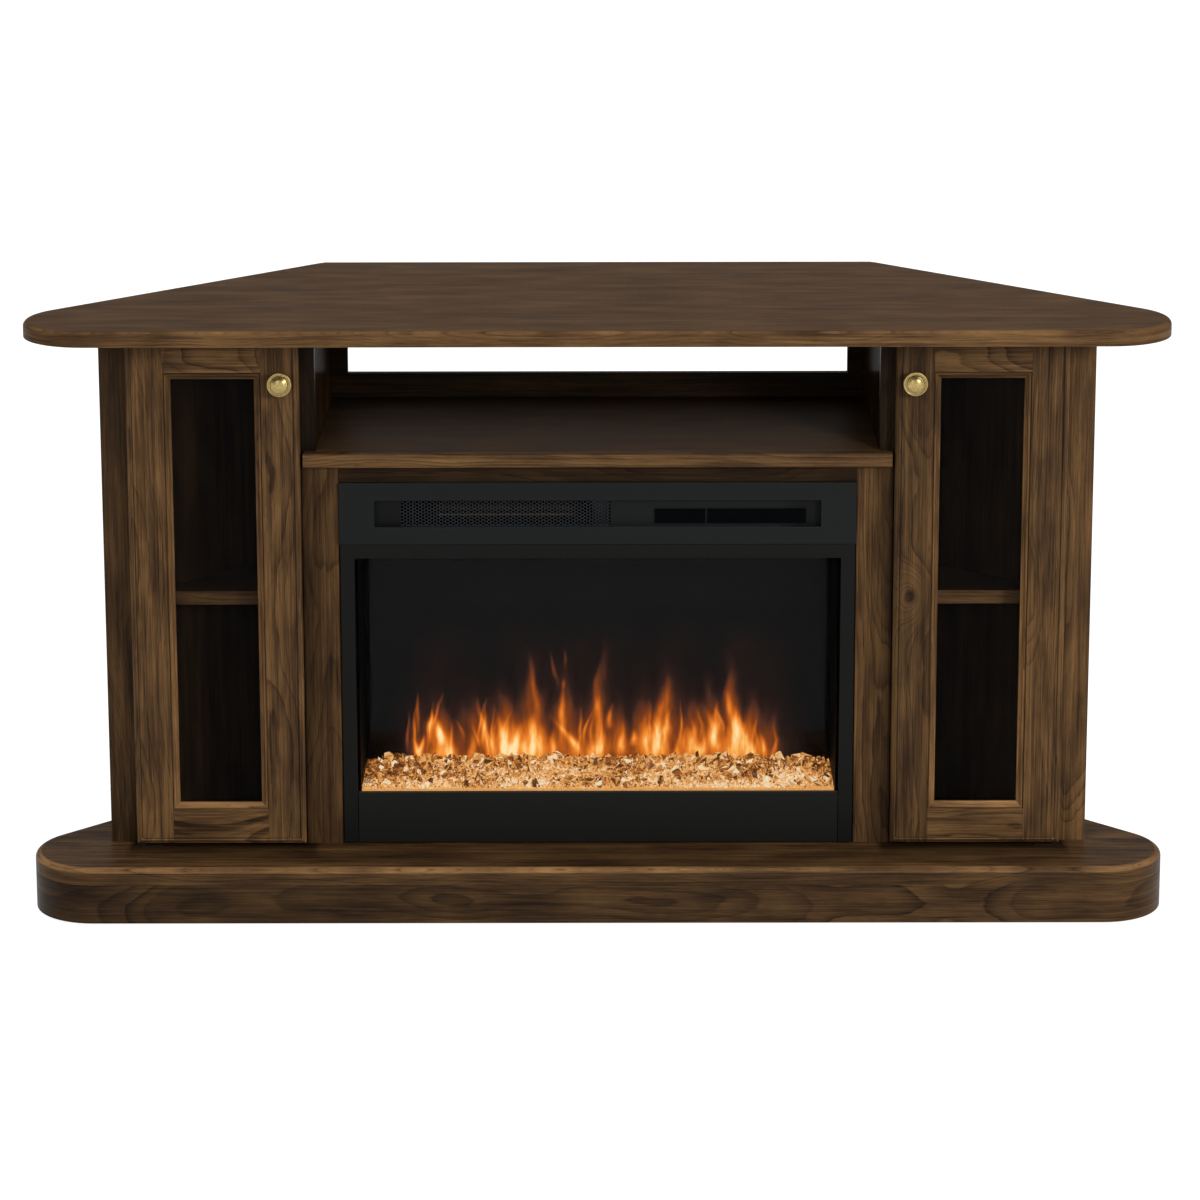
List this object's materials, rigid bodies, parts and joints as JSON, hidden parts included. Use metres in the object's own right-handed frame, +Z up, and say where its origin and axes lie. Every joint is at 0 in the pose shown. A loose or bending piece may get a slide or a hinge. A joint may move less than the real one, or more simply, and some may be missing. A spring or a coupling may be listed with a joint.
{
  "type": "corner fireplace media console",
  "caption": "Corner media console in dark walnut with glass doors on angled towers, an open shelf and an electric fire with glowing glass embers behind a window.",
  "frame": {"origin": "on the floor, below the middle of the top board", "axes": "+X along the width to the right as seen from the front, +Y towards the room corner behind, +Z up"},
  "size_m": [1.4418, 0.456, 0.772],
  "materials": {
    "walnut": "satin",
    "walnut_plain": "matte",
    "hardboard": "matte",
    "brass": "polished",
    "bright_steel": "satin",
    "black_steel": "matte",
    "door_glass": "gloss",
    "fire_glass": "gloss",
    "screen_glass": "gloss",
    "ember_glass": "gloss",
    "clear_plastic": "gloss",
    "display_plastic": "gloss",
    "aluminium": "satin",
    "motor_steel": "satin",
    "circuit_board": "matte",
    "black_plastic": "matte",
    "white_plastic": "matte",
    "grey_plastic": "matte",
    "bumper_rubber": "matte"
  },
  "bodies": {
    "cabinet": {"top_board": "walnut", "base_board": "walnut", "base_front_skirt": "walnut", "base_side_skirts": "walnut", "base_ribs": "walnut_plain", "floor_glides": "grey_plastic", "outer_stiles": "walnut", "inner_stiles": "walnut", "tower_rails": "walnut", "side_panels": "walnut", "inner_walls": "walnut", "tower_shelves": "walnut", "shelf_pins": "bright_steel", "media_shelf": "walnut", "shelf_nosing": "walnut", "support_cleats": "walnut_plain", "compartment_back": "walnut_plain", "lower_back": "hardboard", "surround_trim": "walnut", "surround_frame": "walnut_plain", "back_screws": "bright_steel", "pivot_plates": "bright_steel", "catch_magnets": "bright_steel", "door_bumpers": "bumper_rubber", "firebox_shell": "black_steel", "vent_panel": "black_steel", "outlet_mesh": "black_steel", "display_window": "display_plastic", "window_frame": "black_steel", "lower_panel": "black_steel", "front_glass": "fire_glass", "flame_screen": "screen_glass", "ember_tray": "clear_plastic", "ember_crystals": "ember_glass", "heater_element": "bright_steel", "blower_motor": "motor_steel", "flicker_motor": "motor_steel", "light_board": "circuit_board", "control_board": "circuit_board", "mains_gland": "black_plastic"},
    "left_door": {"left_door_stiles": "walnut", "left_door_rails": "walnut", "left_door_bead": "walnut", "left_door_glass": "door_glass", "left_door_retainer": "walnut_plain", "left_door_knob": "brass", "left_knob_screw": "bright_steel", "left_door_bushes": "white_plastic", "left_door_strike": "bright_steel"},
    "right_door": {"right_door_stiles": "walnut", "right_door_rails": "walnut", "right_door_bead": "walnut", "right_door_glass": "door_glass", "right_door_retainer": "walnut_plain", "right_door_knob": "brass", "right_knob_screw": "bright_steel", "right_door_bushes": "white_plastic", "right_door_strike": "bright_steel"},
    "blower": {"blower_wheel": "aluminium"},
    "flicker": {"flicker_rotor": "aluminium"}
  },
  "joints": [
    {"name": "left_door_hinge", "type": "hinge", "parent": "cabinet", "child": "left_door", "pos_m": [-0.586, -0.115, 0.413], "axis": [0, 0, -1], "range_deg": [0, 110]},
    {"name": "right_door_hinge", "type": "hinge", "parent": "cabinet", "child": "right_door", "pos_m": [0.586, -0.115, 0.413], "axis": [0, 0, 1], "range_deg": [0, 110]},
    {"name": "blower_spin", "type": "hinge", "parent": "cabinet", "child": "blower", "pos_m": [-0.1185, -0.029, 0.51025], "axis": [1, 0, 0], "continuous": true},
    {"name": "flicker_spin", "type": "hinge", "parent": "cabinet", "child": "flicker", "pos_m": [0, 0.049, 0.1135], "axis": [1, 0, 0], "continuous": true}
  ]
}
